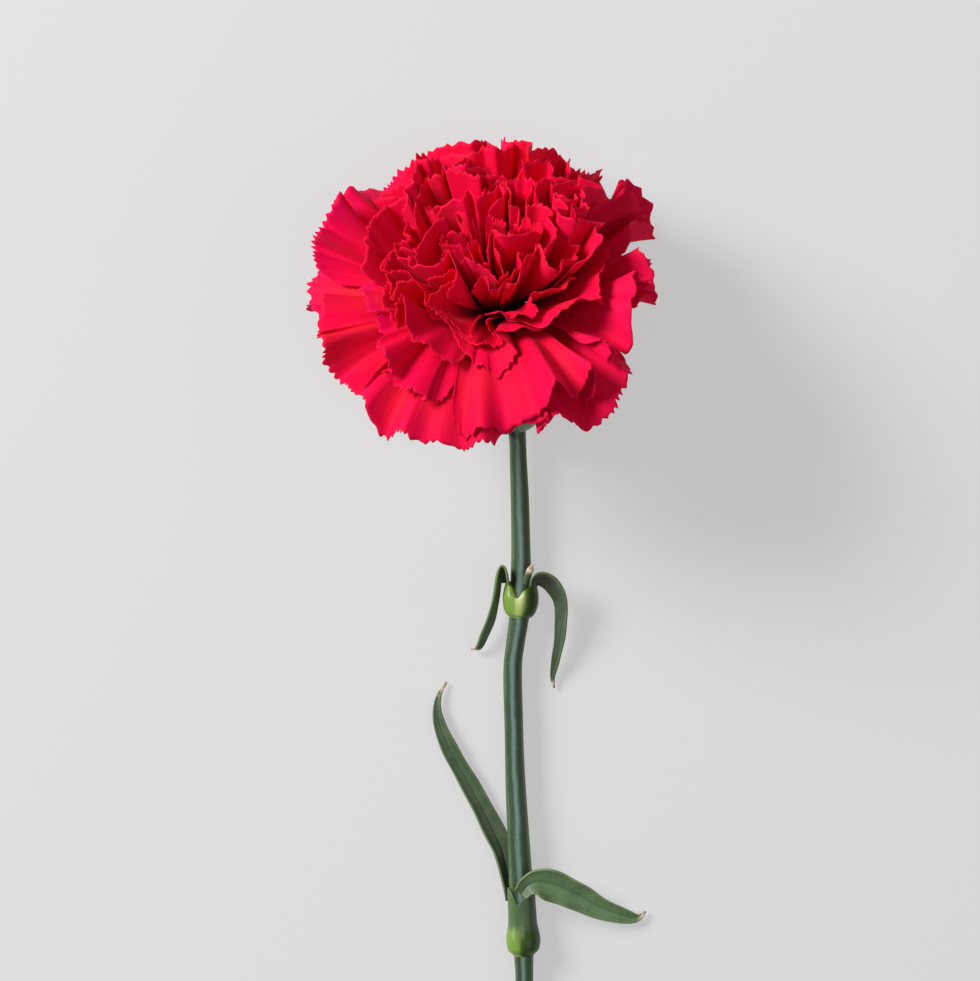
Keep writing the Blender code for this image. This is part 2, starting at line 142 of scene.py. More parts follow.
# Whorls of open petals, outermost first: whorl radius, half its depth, then (direction in
# degrees, half width in degrees, length) of each petal.
WHORLS = (
    (0.94, 0.055, (
        (168, 36, 34.5), (213, 31, 34), (257, 30, 36.5), (302, 31, 37),
        (355, 28, 30.5), (50, 33, 34), (112, 36, 38),
    )),
    (0.845, 0.045, (
        (144, 34, 37), (193, 30, 24), (236, 27, 31), (284, 28, 36.5),
        (331, 28, 33), (27, 15, 34.5), (83, 32, 34.5),
    )),
    (0.74, 0.045, (
        (172, 30, 22), (222, 27, 27), (270, 27, 24), (322, 31, 28), (26, 31, 32.5), (100, 42, 34),
    )),
    (0.65, 0.045, (
        (146, 38, 30.5), (206, 36, 25), (260, 28, 20), (306, 28, 24), (4, 37, 31), (68, 38, 34),
    )),
    (0.54, 0.05, (
        (184, 38, 26), (244, 30, 24), (325, 38, 27), (38, 42, 32), (120, 44, 33),
    )),
    (0.43, 0.05, (
        (208, 48, 26), (288, 42, 23), (18, 48, 29), (110, 50, 31),
    )),
    (0.325, 0.045, (
        (165, 50, 27), (250, 46, 24), (335, 48, 26), (60, 50, 27.5),
    )),
    (0.215, 0.045, (
        (216, 56, 24), (328, 54, 25), (90, 64, 28),
    )),
)

# How much painted sheen tints the rims of the outer whorls' petals bluer: on the lit left side, and
# elsewhere.
RIM_WHORLS = 2
LEFT_SIDE = (135, 200)
RIM_SHEEN_LEFT = 1.0
RIM_SHEEN_ELSEWHERE = 0.3

# Folded petals: distance from the middle, direction, half width, depth, turn, share of a full
# turn that the fold reaches round, length.
FOLDED = (
    (0.085, 250, 0.055, 0.045, -18, 0.60, 22.5),
    (0.085, 130, 0.055, 0.045, 18, 0.60, 25.5),
    (0.085, 10, 0.055, 0.045, -10, 0.55, 25.0),
)

# The stem's axis with its radius, from the cut end up to the neck. The receptacle ends it:
# height above the foot of the calyx and radius.
STEM = (
    (1.2, -158.0, 2.10, 1.90),
    (1.2, -146.0, 2.35, 1.90),
    (1.0, -134.0, 2.60, 1.85),
    (1.2, -122.0, 2.95, 1.80),
    (1.3, -110.4, 3.35, 1.80),
    (1.2, -106.0, 3.50, 1.95),
    (1.05, -101.5, 3.55, 2.15),
    (0.9, -97.5, 3.55, 2.15),
    (0.62, -92.6, 3.50, 2.18),
    (0.52, -90.2, 3.47, 2.38),
    (0.45, -88.2, 3.45, 2.38),
    (0.14, -82.4, 3.35, 2.30),
    (-0.53, -70.0, 3.20, 2.03),
    (-0.9, -57.3, 3.20, 1.92),
    (-1.1, -47.1, 3.35, 1.90),
    (-0.6, -41.9, 3.50, 1.92),
    (0.1, -37.3, 3.60, 2.00),
    (0.45, -33.5, 3.62, 2.10),
    (0.6, -29.2, 3.65, 2.15),
    (0.6, -22.4, 3.70, 2.00),
    (0.4, -12.2, 3.75, 1.86),
    (0.1, -4.5, 3.85, 1.76),
    (0.0, -0.8, 3.85, 1.74),
    (-0.15, 1.3, 3.85, 1.80),
    (-0.3, 2.5, 3.92, 2.00),
)
RECEPTACLE = ((-0.9, 2.4), (0.3, 3.1), (1.4, 3.5), (3.2, 3.6), (4.4, 3.2))
STEM_STEPS = 600

# Ribs of the stem: size, count round it, twist for each millimetre. Then its knobs and its ends.
STEM_RIBS = ((0.012, 9, 0.02), (0.008, 5, -0.05))
KNOB_SIZE = 0.012
KNOB_PITCH = 0.31
KNOB_TURN = 2
STEM_END_ROWS = 0.02
STEM_END_POWER = 0.75
CUT_SLANT = 1.1
CUT_DEPTH = 0.25
CUT_REACH = 1.6
CUT_SHARPNESS = 1.4
UPPER_START = 138
UPPER_LENGTH = 10

# The sheath at each node: place along the stem and outer radius.
COLLARS = {
    "collar_upper": (
        (-36.3, 2.40), (-35.7, 2.75), (-34.6, 3.25), (-33.2, 3.52),
        (-31.8, 3.55), (-30.6, 3.30), (-29.7, 2.85),
    ),
    "collar_lower": (
        (-105.2, 2.45), (-104.4, 2.95), (-103.0, 3.35), (-101.5, 3.40), (-100.0, 3.12),
        (-98.4, 2.86), (-95.4, 2.80), (-91.9, 2.86),
    ),
}
COLLAR_STEPS = 60

# Lobes of a sheath: size, count round it, start, change from node to node.
COLLAR_LOBES = ((0.035, 2, 0.4, 0), (0.0175, 5, 0, 1))
COLLAR_OUTSIDE = 0.7
COLLAR_GAP = 0.02
COLLAR_OPENING = 0.1
SEAM_WIDTH = 0.36
SEAM_DEPTH = 0.35
SEAM_LENGTH = 0.4
RIM_START = 0.55
RIM_WAVE = 0.9
RIM_NOTCH = 1.9

# Of the upper and the lower sheath: the seam's direction, how strongly it takes the painted highlight and
# painted shade, how far its colours run.
SEAM_DEGREES = (108, 104)
NODE_LIGHTING = (1.0, 0.15)
COLOUR_RUN = (0.25, 1.0)

# Leaves: the middle line from node to tip, then the half width and the roll in degrees
# (0 lies flat, 90 stands on its edge).
LEAVES = {
    "leaf_upper_left": (
        (-2.15, -29.2, 4.9, 1.4, 66), (-2.5, -27.2, 5.4, 1.5, 62), (-3.1, -25.8, 5.6, 1.5, 66),
        (-3.95, -26.8, 5.2, 1.4, 74), (-4.5, -29.4, 4.6, 1.5, 72), (-5.0, -33.0, 3.9, 1.6, 68),
        (-5.95, -36.6, 3.2, 1.5, 60), (-7.05, -39.8, 2.6, 1.2, 50), (-8.0, -42.2, 2.0, 0.75, 38),
        (-9.5, -42.8, 1.4, 0.14, 30),
    ),
    "leaf_upper_right": (
        (2.75, -29.6, 6.6, 1.3, -62), (3.4, -28.3, 6.9, 1.7, -50), (4.8, -27.9, 6.8, 2.0, -44),
        (7.0, -29.1, 6.2, 2.1, -44), (8.6, -31.6, 5.4, 1.95, -44), (9.05, -35.4, 4.4, 1.6, -42),
        (8.7, -40.2, 3.4, 1.3, -38), (7.75, -45.0, 2.3, 0.9, -30), (7.1, -48.4, 1.5, 0.45, -20),
        (7.4, -50.7, 1.1, 0.12, -10),
    ),
    "leaf_lower_left": (
        (-2.2, -94.2, 1.75, 1.1, -62), (-2.15, -90.0, 1.45, 1.75, -38), (-3.0, -84.5, 1.2, 2.1, -20),
        (-4.9, -80.0, 1.4, 2.15, -12), (-8.7, -72.5, 1.7, 1.9, -6), (-13.05, -64.7, 1.9, 1.65, 4),
        (-15.6, -59.2, 1.9, 1.35, 10), (-16.5, -55.0, 1.6, 0.75, 12), (-16.0, -51.8, 1.3, 0.42, 10),
        (-14.6, -49.5, 1.0, 0.13, 5),
    ),
    "leaf_lower_right": (
        (0.6, -92.3, 6.5, 1.5, 5), (1.9, -90.7, 6.95, 2.0, 2), (3.7, -89.9, 7.0, 2.6, -2),
        (5.8, -90.1, 6.5, 3.1, -6), (8.4, -91.1, 5.7, 3.2, -8), (12.5, -93.1, 4.4, 2.8, -8),
        (15.8, -95.0, 3.4, 2.35, -8), (19.0, -96.4, 2.6, 1.95, -7), (22.2, -97.4, 1.8, 1.35, -5),
        (24.4, -97.7, 1.4, 0.75, -3), (26.2, -96.5, 1.1, 0.13, 0),
    ),
}
LEAF_STEPS = 300
LEAF_CUP = 0.34
LEAF_KEEL = 0.10
KEEL_POWER = 6
EDGE_WAVE = 0.05
EDGE_PITCH = 0.9
WIDTH_CHANGE = 0.03
WIDTH_PITCH = 0.7
# How much lighter green each leaf gets: partly a fresher colour, partly painted light on the lit leaves.
FRESH_AND_LIT = {
    "leaf_upper_left": 0.45,
    "leaf_upper_right": 0.0,
    "leaf_lower_left": 0.1,
    "leaf_lower_right": 0.9,
}
RUSTY_LEAF = "leaf_upper_right"
RUST_PLACE = 0.16
RUST_WIDTH = 0.07

# The side shoot: its middle line with its half width.
SHOOT = (
    (1.4, -29.6, 6.9, 0.6), (1.65, -28.4, 7.15, 0.7), (2.2, -27.0, 7.5, 0.78), (2.65, -26.0, 7.6, 0.7),
    (2.95, -25.1, 7.6, 0.35),
)
SHOOT_STEPS = 100
SHOOT_FOOT = 0.08
SHOOT_TIP = 0.25
SHOOT_KEEL = 0.10
SHOOT_FLATNESS = 0.7
SHOOT_DRYNESS = (0.80, 0.25, 0.97)

# The calyx: height above its foot and outer radius; its teeth; the scales at its foot.
CALYX = ((0.3, 4.75), (2.0, 5.7), (6.0, 6.25), (12.0, 6.75), (18.0, 7.1), (23.0, 7.35), (25.0, 7.55))
CALYX_FOOT = ((-0.15, 2.9), (-0.1, 3.5), (0.1, 4.2), (0.5, 4.85), (1.1, 5.35))
CALYX_CROWDING = 1.6
CALYX_WALL = 0.4
CALYX_RIBS = 30
CALYX_RIB = 0.05
CALYX_ACROSS = 0.7
CALYX_ALONG = 0.84
CALYX_TEETH = 5
TOOTH_HEIGHT = 4.5
TOOTH_FLARE = 2.2
TOOTH_CURVE = 1.3
BRACTS = 4
BRACT_HALF_DEGREES = 40
BRACT_LENGTH = 8.5
BRACT_WALL = 0.45
BRACT_GAP = 0.35
BRACT_START = 0.6
BRACT_ROUNDING = 3.2
BRACT_FOOT = 0.86
BRACT_BULGE = 0.25
BRACT_ALONG = 0.94

# Faces across and along the sheet that each piece is grown from.
STEM_GRID = (56, 420)
COLLAR_GRID = (96, 70)
LEAF_GRID = (28, 170)
SHOOT_GRID = (40, 60)
CALYX_GRID = (240, 60)
BRACT_GRID = (40, 50)
CURVE_STEPS = 24
SEAM_GAP = 2e-6

# How much light goes through a petal, the velvet of petals and the wax of green parts.
PETAL_CLEARNESS = 0.16
VELVET = {"Sheen Weight": 0.08, "Sheen Roughness": 0.5, "Sheen Tint": (1.0, 0.20, 0.30, 1.0)}
WAX = {"Sheen Weight": 0.15, "Sheen Roughness": 0.4, "Sheen Tint": (0.75, 0.85, 0.95, 1.0)}

# The surface, the lights (name, place, size) and the camera straight above, in metres.
FLOOR_SIZE = 6.0
FLOOR_GLOW = 0.46
WHITE = (1.0, 1.0, 1.0, 1.0)
AIM = (0.0, 0.04, 0.02)
LIGHTS = (
    ("main_light", (-1.0, 0.60, 0.78), 0.6),
    ("fill_light", (0.75, -0.25, 1.1), 1.1),
)
CAMERA_PLACE = (0.00188, 0.03958)
SENSOR_WIDTH = 36
VIEW_WIDTH = 0.200124
VIEW_HEIGHT = 0.0035
CLIP_START = 0.01


# ---------------- growth of the flower head

def unit(v):
    return v / np.linalg.norm(v, axis=-1, keepdims=True)


FORWARD = unit(np.array([LEAN, math.cos(TILT), math.sin(TILT)]))
ACROSS = unit(np.array([1.0, 0.0, 0.0]) - FORWARD[0] * FORWARD)
DOWN = np.cross(FORWARD, ACROSS)


def vary(i, j):
    """A repeatable number from 0 to 1 for petal i and feature j."""
    x = math.sin(i * 12.9898 + j * 78.233) * 43758.5453
    return x - math.floor(x)


def between(i, j, low, high):
    return low + (high - low) * vary(i, j)


def smooth(x):
    x = np.clip(x, 0, 1)
    return x * x * (3 - 2 * x)


def near(theta, degrees, width):
    """1 where theta is the given direction, falling to 0 round it."""
    away = np.angle(np.exp(1j * (theta - math.radians(degrees))))
    return np.exp(-((away / width) ** 2))


def flare_of(radius):
    """How far a petal turns away from the flower's axis just outside the mouth."""
    return np.radians(FLARE_DEGREES * radius) + SMALLEST_TURN


def tip_of(radius, theta):
    """How far its far end turns away: the middle stands, the rim lies back, most of all in front."""
    standing = STANDING_RADIUS - FRONT_OPENING * near(theta, FRONT, FRONT_WIDTH)
    lying = LYING_DEGREES + FRONT_DEGREES * near(theta, FRONT, FRONT_WIDTH)
    lying = lying + FAR_DEGREES * near(theta, FAR_SIDE, FAR_WIDTH)
    degrees = lying / (1 + np.exp((standing - radius) / STANDING_SOFTNESS)) + LEANING_DEGREES * radius
    creases = sum(share * np.sin(count * theta + start) for share, count, start in CREASES)
    deep = CREASE_DEGREES + SIDE_CREASE_DEGREES * near(theta, CREASED_SIDE, CREASED_WIDTH)
    degrees = degrees + deep * creases * smooth((radius - CREASE_INSIDE) / CREASE_INSIDE)
    return np.radians(degrees)


def fold(x, y, run):
    """Moves places of the bud along its neighbours' folds, so that all petals fold together."""
    radius = np.hypot(x, y)
    theta = np.arctan2(y, x)
    grown = smooth(run / FOLD_LENGTH)
    late = smooth((run - LATE_START) / LATE_LENGTH)
    pleats = 0
    for share, count, start, drift in PLEATS:
        pleats = pleats + grown * share * np.sin(count * theta + start + drift * radius)
    share, count, start, drift = LATE_PLEAT
    pleats = pleats + late * share * np.sin(count * theta + start + drift * radius)
    radius = radius + radius * (1 - radius) * pleats
    theta = theta + SWIRL * grown * np.sin(SWIRL_COUNT * radius + SWIRL_START)
    return radius, theta


def flower_to_world(across, down, up):
    """A place measured from the mouth along the flower's own axes, kept off the surface."""
    place = MOUTH + across[..., None] * ACROSS + down[..., None] * DOWN + up[..., None] * FORWARD
    height = (place[..., 2] - SURFACE_GAP) / SURFACE_SOFTNESS
    place[..., 2] = SURFACE_GAP + SURFACE_SOFTNESS * np.logaddexp(0, height)
    return place


def in_flower(x, y, run):
    """The place at a distance run from the mouth on the petal path that starts at (x, y)."""
    radius, theta = fold(x, y, run)
    first = flare_of(radius)
    tight = BEND_LENGTH / first
    swing = tip_of(radius, theta) - first
    wide = BLADE_LENGTH / np.where(np.abs(swing) < SMALLEST_TURN, SMALLEST_TURN, swing)
    angle = np.clip(run, 0, BEND_LENGTH) / tight
    rest = np.clip(run - BEND_LENGTH, 0, None) / wide
    claw = np.clip(-run, 0, None)
    out = radius * MOUTH_RADIUS + tight * (1 - np.cos(angle))
    out = out + wide * (np.cos(first) - np.cos(first + rest))
    out = out * (1 - CLAW_TAPER * claw / CALYX_LENGTH)
    up = tight * np.sin(angle) + wide * (np.sin(first + rest) - np.sin(first)) - claw
    return flower_to_world(out * np.cos(theta), out * np.sin(theta), up)


def waves(rows, s, index):
    return sum(size * np.sin(count * s + change * index) for size, count, change in rows)


def toothed_margin(index, length, s, depth):
    """How far the blade reaches at each s: rounded, notched and finely toothed."""
    count = TEETH + int(MORE_TEETH * vary(index, 8))
    place = s * count * 0.5 + waves(TOOTH_DRIFT, s, index)
    tooth = 1 - np.abs((place % 1.0) * 2 - 1)
    amount = TOOTH_SHARE + waves(TOOTH_CHANGE, s, index)
    rounded = length * (1 - MARGIN_ROUNDING * s**2 - CORNER_ROUNDING * np.abs(s) ** CORNER_POWER)
    return rounded + tooth * amount * depth + waves(LOBES, s, index)


def ruffle(index, s, t):
    """Ruffles that grow towards the end of a blade, some of them sharp."""
    size, count, change = SHARP_RUFFLE
    sharp = size * np.abs(np.sin(count * s + change * index))
    creases = sum(
        size * np.sin(count * s + change * index + slant * t) for size, count, change, slant in RUFFLES
    )
    return t**RUFFLE_GROWTH * (creases + sharp - RUFFLE_MEAN)


def open_petal(index, radius, half, degrees, half_degrees, length, tooth_depth, ruffling):
    """The surface of a petal of a whorl, as a function of s across and t along."""
    count = math.pi * between(index, 2, *WAVES)
    first = between(index, 4, 0, 2 * math.pi)
    second = between(index, 5, 0, 2 * math.pi)

    def surface(s, t):
        blade = np.clip(t, 0, 1)
        opened = smooth(blade / OPENING_SHARE)
        degrees_wide = CLAW_HALF_DEGREES + (half_degrees - CLAW_HALF_DEGREES) * opened
        theta = np.radians(degrees + degrees_wide * s)
        wave = (1 - FINE_WAVE_SHARE) * np.sin(count * s + first)
        wave = wave + FINE_WAVE_SHARE * np.sin(FINE_WAVE_COUNT * count * s + second)
        depth = SLANT * s * smooth(blade / SLANTING_SHARE)
        depth = depth + WAVE * wave * (1 - WAVE_CALM * s**2) * blade**WAVE_GROWTH
        place = radius + half * depth + RUFFLE * ruffling * ruffle(index, s, blade)
        run = np.where(t < 0, t * CLAW_LENGTH, t * toothed_margin(index, length, s, tooth_depth))
        return in_flower(place * np.cos(theta), place * np.sin(theta), run)

    return surface


def folded_petal(
    index, radius, degrees, half_width, depth, turn_degrees, reach, length, tooth_depth, ruffling
):
    """The surface of a petal that curls round its own middle."""
    count = math.pi * between(index, 2, *CURL_WAVES)
    first = between(index, 3, 0, 2 * math.pi)
    theta = math.radians(degrees)
    turn = math.radians(turn_degrees)

    def surface(s, t):
        blade = np.clip(t, 0, 1)
        curl = (CURL_START + (reach - CURL_START) * smooth(blade / CURL_SHARE)) * math.pi * s
        size = 1 + CURL_WAVE * blade**CURL_GROWTH * np.sin(count * s + first)
        size = size + CURL_RUFFLE * ruffling * ruffle(index, s, blade)
        back = depth * np.cos(curl) * size
        side = half_width * np.sin(curl) * size
        outward = radius + back * math.cos(turn) - side * math.sin(turn)
        sideways = back * math.sin(turn) + side * math.cos(turn)
        x = outward * math.cos(theta) - sideways * math.sin(theta)
        y = outward * math.sin(theta) + sideways * math.cos(theta)
        run = np.where(t < 0, t * CLAW_LENGTH, t * toothed_margin(index, length, s, tooth_depth))
        return in_flower(x, y, run)

    return surface


# ---------------- making a mesh by hand

def grow_sheet(name, grid, place):
    """A sheet with each point at place(s, v), given in the flower's millimetres.

    s goes from -1 to 1 across the sheet, and v from 0 to 1 along it.
    """
    columns, rows = grid
    bpy.ops.object.select_all(action="DESELECT")
    bpy.ops.mesh.primitive_grid_add(x_subdivisions=columns, y_subdivisions=rows, size=2, location=(0, 0, 0))
    obj = bpy.context.object
    obj.name = name
    mesh = obj.data
    mesh.name = name
    flat = np.empty(len(mesh.vertices) * 3, np.float32)
    mesh.vertices.foreach_get("co", flat)
    flat = flat.reshape(-1, 3).astype(float)
    s = np.clip(np.round(flat[:, 0], 6), -1, 1)
    v = 0.5 * (np.clip(np.round(flat[:, 1], 6), -1, 1) + 1)
    points = (place(s, v) + SHIFT) * MM
    mesh.vertices.foreach_set("co", points.astype(np.float32).ravel())
    mesh.update()
    return obj, s, v


def mark(obj, **marks):
    """Stores numbers for each point, for the materials to read."""
    for name, values in marks.items():
        layer = obj.data.attributes.new(name, "FLOAT", "POINT")
        layer.data.foreach_set("value", np.full(len(layer.data), values, np.float32))


def finish_piece(obj, material, node, thickness=0.0):
    """Closes the seams of the newest sheet, gives it a wall, attaches it to the root body and hides the
    imported piece of that name.
    """
    bpy.ops.object.mode_set(mode="EDIT")
    bpy.ops.mesh.select_all(action="SELECT")
    bpy.ops.mesh.remove_doubles(threshold=SEAM_GAP)
    bpy.ops.mesh.normals_make_consistent(inside=False)
    bpy.ops.object.mode_set(mode="OBJECT")
    if thickness:
        wall = obj.modifiers.new("Wall", "SOLIDIFY")
        wall.thickness = thickness
        wall.offset = 0.0
        bpy.ops.object.modifier_apply(modifier=wall.name)
    bpy.ops.object.shade_smooth()
    obj.data.materials.append(material)
    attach(obj, "root")
    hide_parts(node)


def smooth_line(points, count):
    """count rows on one smooth curve through the given ones, evenly spaced, and its length."""
    points = np.asarray(points, float)
    ends = np.concatenate([[2 * points[0] - points[1]], points, [2 * points[-1] - points[-2]]])
    pieces = []
    u = np.linspace(0, 1, CURVE_STEPS, endpoint=False)[:, None]
    for a, b, c, d in zip(ends[:-3], ends[1:-2], ends[2:-1], ends[3:]):
        bend = (2 * a - 5 * b + 4 * c - d) * u**2 + (3 * b - a - 3 * c + d) * u**3
        pieces.append(0.5 * (2 * b + (c - a) * u + bend))
    line = np.concatenate(pieces + [points[-1:]])
    steps = np.linalg.norm(np.diff(line[:, :3], axis=0), axis=1)
    along = np.concatenate([[0], np.cumsum(steps)])
    wanted = np.linspace(0, along[-1], count)
    return np.stack([np.interp(wanted, along, line[:, k]) for k in range(line.shape[1])], -1), along[-1]


def with_frames(line):
    """The line's rows with their side and up directions added, as the last six columns."""
    along = unit(np.gradient(line[:, :3], axis=0))
    side = unit(np.cross(along, np.array([0.0, 0.0, 1.0])))
    return np.concatenate([line, side, np.cross(side, along)], axis=1)


def around(row, radius, angle, flatness=1.0):
    """Points round the rows' middles, as far out as radius says."""
    ring = np.cos(angle)[:, None] * row[:, -6:-3] + flatness * np.sin(angle)[:, None] * row[:, -3:]
    return row[:, :3] + radius[:, None] * ring


def at(line, t):
    """Reads a table of rows, evenly spaced from 0 to 1, at t."""
    knots = np.linspace(0, 1, len(line))
    return np.stack([np.interp(t, knots, line[:, k]) for k in range(line.shape[1])], -1)


def along_calyx(height):
    """The place on the flower's axis at a height above the calyx's foot."""
    return MOUTH + (np.asarray(height)[..., None] - CALYX_LENGTH) * FORWARD


# ---------------- materials

class Sock:
    """A shader socket that takes part in arithmetic."""

    def __init__(self, recipe, socket):
        self.recipe = recipe
        self.socket = socket

    def maths(self, operation, *values):
        return self.recipe.node("ShaderNodeMath", {"operation": operation}, dict(enumerate((self, *values))))

    def __add__(self, other):
        return self.maths("ADD", other)

    __radd__ = __add__

    def __sub__(self, other):
        return self.maths("SUBTRACT", other)

    def __rsub__(self, other):
        return self.recipe.node("ShaderNodeMath", {"operation": "SUBTRACT"}, {0: other, 1: self})

    def __mul__(self, other):
        return self.maths("MULTIPLY", other)

    __rmul__ = __mul__


class Recipe:
    """A material put together from nodes."""

    def __init__(self, name, colour):
        self.material = bpy.data.materials.new(name)
        self.material.use_nodes = True
        self.material.diffuse_color = (*colour, 1.0)
        self.tree = self.material.node_tree
        self.tree.nodes.clear()
        self.output = self.tree.nodes.new("ShaderNodeOutputMaterial")

    def node(self, kind, settings, inputs, output=0):
        """Adds a node, sets it, fills its sockets with values or links, and gives one output."""
        made = self.tree.nodes.new(kind)
        for key, value in settings.items():
            setattr(made, key, value)
        for key, value in inputs.items():
            if isinstance(value, Sock):
                self.tree.links.new(value.socket, made.inputs[key])
            else:
                made.inputs[key].default_value = value
        return Sock(self, made.outputs[output])

    def attribute(self, name):
        return self.node("ShaderNodeAttribute", {"attribute_name": name}, {}, "Fac")

    def place(self):
        return self.node("ShaderNodeTexCoord", {}, {}, "Object")

    def vector(self, x, y, z):
        return self.node("ShaderNodeCombineXYZ", {}, {0: x, 1: y, 2: z})

    def noise(self, vector, scale, detail=3.0, roughness=0.55):
        inputs = {"Vector": vector, "Scale": scale, "Detail": detail, "Roughness": roughness}
        return self.node("ShaderNodeTexNoise", {}, inputs, "Fac")

    def ramp(self, value, low, high, start=0.0, end=1.0):
        """start below low, end above high, and an eased change between."""
        inputs = {"Value": value, "From Min": low, "From Max": high, "To Min": start, "To Max": end}
        return self.node("ShaderNodeMapRange", {"interpolation_type": "SMOOTHSTEP"}, inputs)

    def mix(self, factor, first, second):
        inputs = {0: factor, 6: rgba(first), 7: rgba(second)}
        return self.node("ShaderNodeMix", {"data_type": "RGBA", "clamp_factor": True}, inputs, 2)

    def bump(self, height, strength, distance):
        inputs = {"Height": height, "Strength": strength, "Distance": distance}
        return self.node("ShaderNodeBump", {}, inputs)

    def skin(self, inputs):
        return self.node("ShaderNodeBsdfPrincipled", {}, inputs)

    def done(self, shader):
        self.tree.links.new(shader.socket, self.output.inputs["Surface"])
        return self.material


def rgba(colour):
    """A colour with its alpha. A socket stays as it is."""
    return colour if isinstance(colour, Sock) else (*colour, 1.0)


def petal_material(settings):
    """Velvety red with fine veins, with painted shade deep in the throat, a painted highlight at the toothed
    edge and painted sheen on the outer rims.
    """
    r = Recipe("petal_velvet", settings.petal_colour)
    across = r.attribute("across")
    blade = r.attribute("blade")
    tone = r.attribute("tone")
    streaks = r.noise(r.vector(across * 9.0, blade * 1.4, tone * 31.0), scale=1.0, detail=4.0, roughness=0.6)
    veins = r.noise(r.vector(across * 46.0, blade * 1.1, tone * 17.0), scale=1.0, detail=2.0, roughness=0.5)
    cells = r.noise(r.place(), scale=2600.0, detail=2.0, roughness=0.6)
    clouds = r.noise(r.place(), scale=95.0, detail=2.0, roughness=0.5)
    # Painted shade: each blade darkens to the throat colour towards its foot, deep in the flower.
    lit = r.ramp(blade, 0.15, 0.85)
    colour = r.mix(lit, settings.petal_throat_shade, settings.petal_colour)
    colour = r.mix(r.ramp(streaks, 0.42, 0.72) * 0.45 * lit, colour, settings.petal_blush)
    colour = r.mix(r.ramp(clouds, 0.45, 0.75) * 0.35, colour, settings.petal_deep)
    colour = r.mix(r.ramp(tone, 0.55, 1.0) * 0.35, colour, settings.petal_blush)
    colour = r.mix(r.ramp(veins, 0.5, 0.75) * 0.22, colour, settings.petal_deep)
    warm = r.noise(r.vector(across * 1.3, blade * 1.1, tone * 53.0), scale=1.0, detail=2.0, roughness=0.5)
    colour = r.mix(r.ramp(warm, 0.50, 0.72) * lit * 0.5, colour, settings.petal_coral)
    # Painted sheen: the outer petals' rims are tinted bluer, most on the lit left side.
    rim = r.ramp(blade + (streaks - 0.5) * 0.3, 0.74, 1.04) * r.attribute("outer")
    colour = r.mix(rim * 0.6, colour, settings.petal_rim_sheen)
    # Painted highlight: a paler line along the toothed edge, where edges catch the light.
    colour = r.mix(r.ramp(blade, 0.965, 1.0) * 0.10, colour, settings.petal_edge_highlight)
    normal = r.bump(veins * 0.7 + cells * 0.3, 0.35, 0.00025)
    rough = 0.5 + cells * 0.22
    skin = r.skin({
        "Base Color": colour, "Roughness": rough, "Normal": normal, "Specular IOR Level": 0.06, **VELVET
    })
    glow = r.node("ShaderNodeBsdfTranslucent", {}, {"Color": rgba(settings.petal_glow)})
    return r.done(r.node("ShaderNodeMixShader", {}, {0: PETAL_CLEARNESS, 1: skin, 2: glow}))


def stem_material(settings):
    """Grey-green skin under a waxy bloom, with fine ribs, specks and a pale cut end, two bands of painted
    shade along its sides and a stripe of wax and painted highlight along its top.
    """
    r = Recipe("stem_waxy_green", settings.stem_colour)
    across = r.attribute("across")
    along = r.attribute("along")
    cut = r.attribute("cut")
    place = r.place()
    ribs = r.noise(r.vector(across * 6.0, along * 0.02, 3.0), scale=3.0, detail=3.0, roughness=0.6)
    patches = r.noise(r.vector(across * 1.4, along * 0.09, 9.0), scale=1.0, detail=4.0, roughness=0.6)
    specks = r.noise(place, scale=2300.0, detail=3.0, roughness=0.7)
    colour = r.mix(r.ramp(patches, 0.35, 0.7), settings.stem_colour, settings.stem_bloom)
    wander = (patches - 0.5) * 0.25
    flank = r.ramp((across - 0.5 + wander).maths("ABSOLUTE"), 0.16, 0.34)
    colour = r.mix(flank * 0.7, colour, settings.stem_flank)
    # Painted shade: two dark bands along the stem, to the left and right of its top.
    left_shade_band = 1.0 - r.ramp((across - 0.67 + wander).maths("ABSOLUTE"), 0.05, 0.13)
    right_shade_band = 1.0 - r.ramp((across - 0.35 + wander).maths("ABSOLUTE"), 0.05, 0.14)
    colour = r.mix(left_shade_band * 0.85 + right_shade_band * 0.55, colour, settings.deep_green_and_shade)
    # The pale stripe along the top is partly wax and partly a painted highlight.
    stripe = 1.0 - r.ramp((across - 0.52 + wander).maths("ABSOLUTE"), 0.01, 0.12)
    colour = r.mix(stripe * 0.68, colour, settings.stem_wax_and_highlight)
    colour = r.mix(r.ramp(ribs, 0.5, 0.75) * 0.4, colour, settings.deep_green_and_shade)
    colour = r.mix(r.ramp(specks, 0.6, 0.72) * 0.35, colour, settings.stem_pale)
    scar = r.noise(r.vector(across * 2.2, along * 0.05, 21.0), scale=1.6, detail=3.0, roughness=0.6)
    scarred = r.ramp(scar, 0.60, 0.70) * r.attribute("upper")
    colour = r.mix(scarred * 0.75, colour, settings.stem_scar)
    fibres = r.noise(place, scale=3800.0, detail=2.0, roughness=0.5)
    pith = r.mix(r.ramp(fibres, 0.4, 0.7), settings.pith, settings.stem_pale)
    colour = r.mix(r.ramp(cut, 0.3, 0.6), colour, pith)
    normal = r.bump(ribs * 0.7 + specks * 0.3, 0.35, 0.0002)
    rough = 0.34 + r.ramp(patches, 0.35, 0.7) * 0.15
    return r.done(r.skin({
        "Base Color": colour, "Roughness": rough, "Normal": normal, "Specular IOR Level": 0.25, **WAX
    }))


